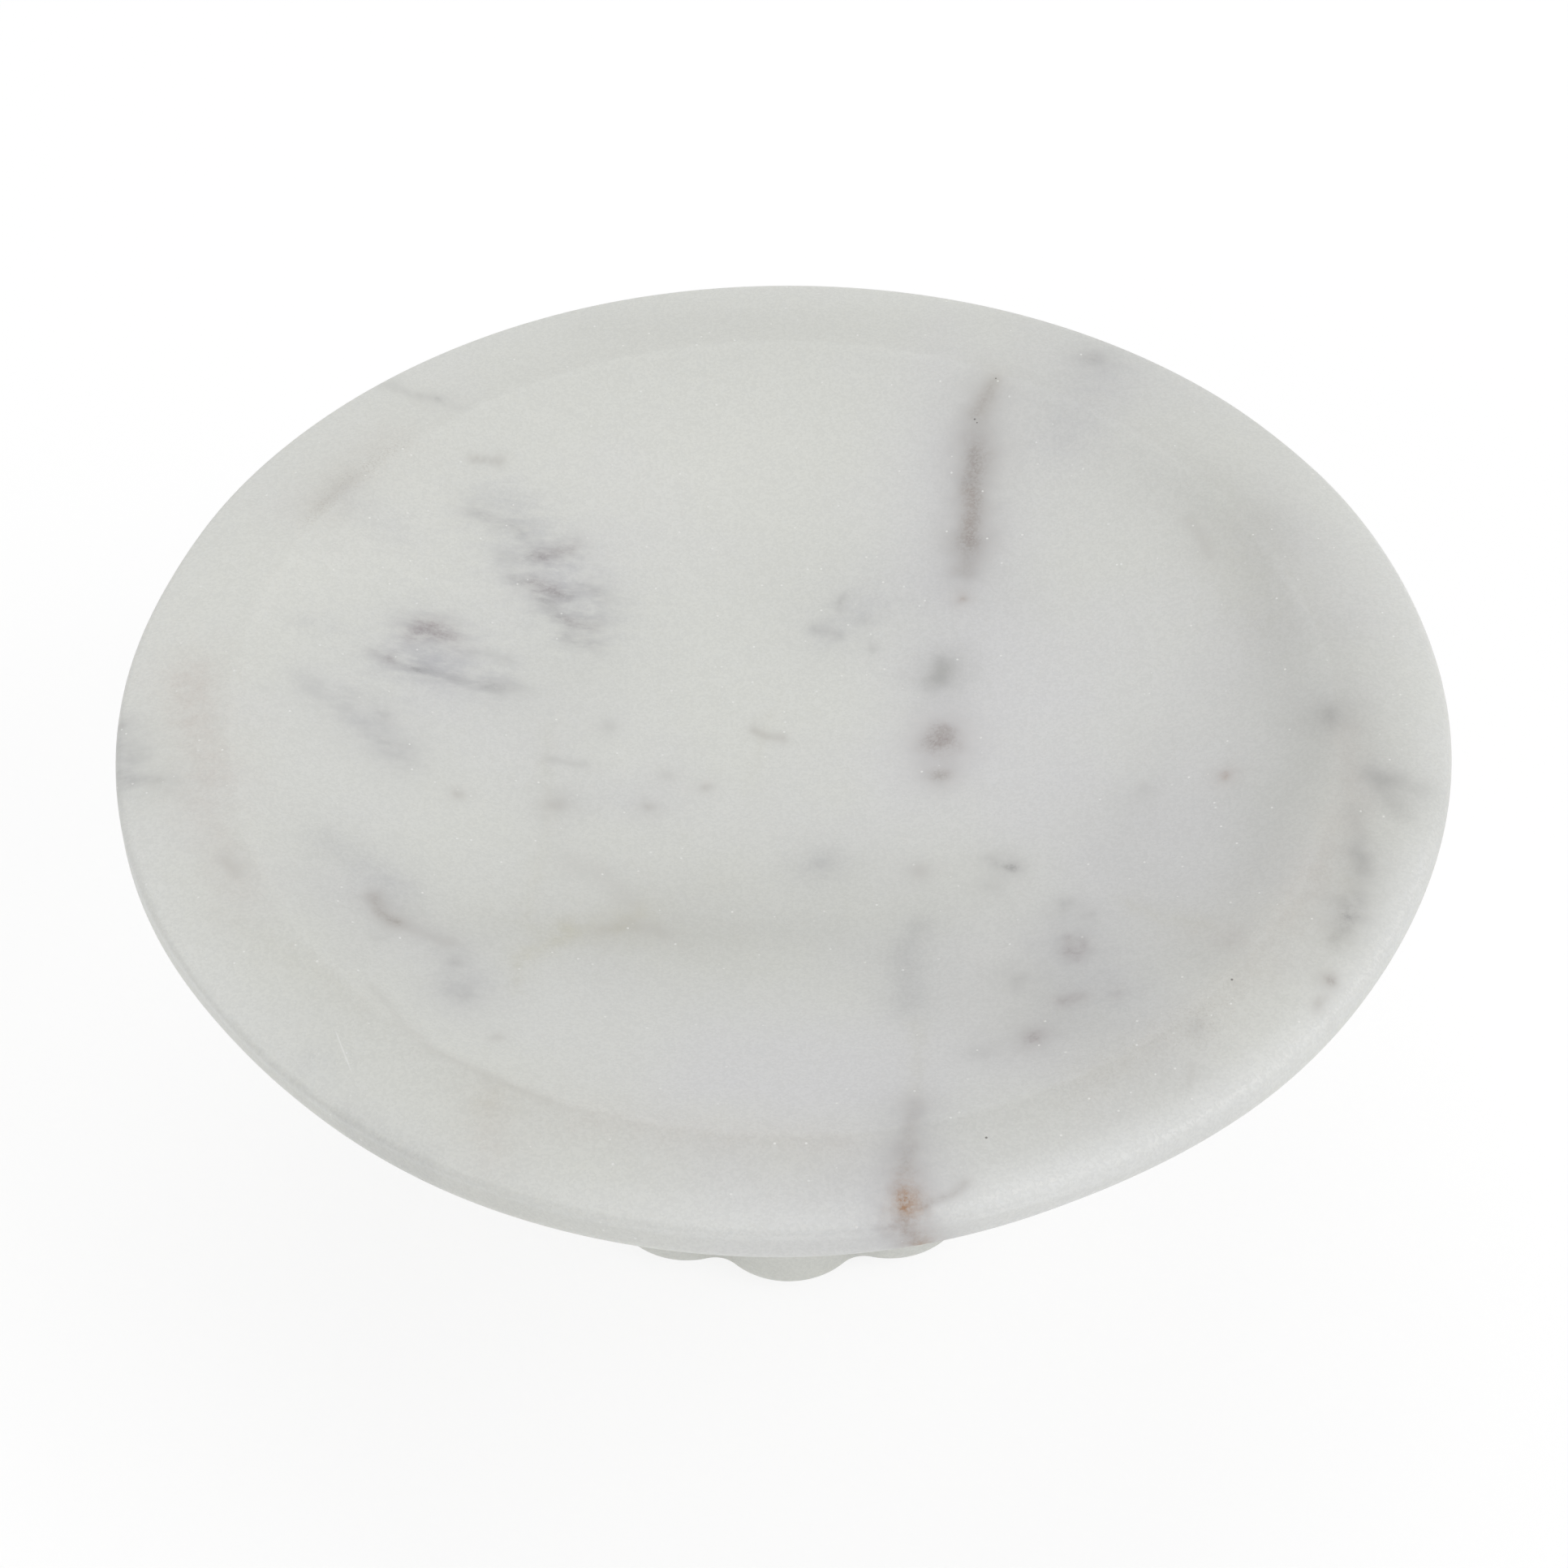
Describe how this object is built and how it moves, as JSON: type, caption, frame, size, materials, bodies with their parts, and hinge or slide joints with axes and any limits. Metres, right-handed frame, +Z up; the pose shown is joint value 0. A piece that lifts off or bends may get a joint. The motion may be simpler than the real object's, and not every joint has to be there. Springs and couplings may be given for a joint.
{
  "type": "ring dish",
  "caption": "Shallow round marble ring dish with a flat rim and a concave well, raised on a tapered fluted marble foot with felt dots beneath.",
  "frame": {"origin": "on the table, under the middle of the dish", "axes": "+Z up along the axis of the dish, -Y towards the front, where one lobe of the foot points"},
  "size_m": [0.114, 0.114, 0.05],
  "materials": {
    "marble": "honed",
    "steel": "ground",
    "epoxy": "cured",
    "felt": "pressed wool"
  },
  "bodies": {
    "root": {"dish": "marble", "fluted_foot": "marble", "locating_pin": "steel", "epoxy_bond": "epoxy", "felt_dot_1": "felt", "felt_dot_2": "felt", "felt_dot_3": "felt", "felt_dot_4": "felt"}
  },
  "joints": []
}
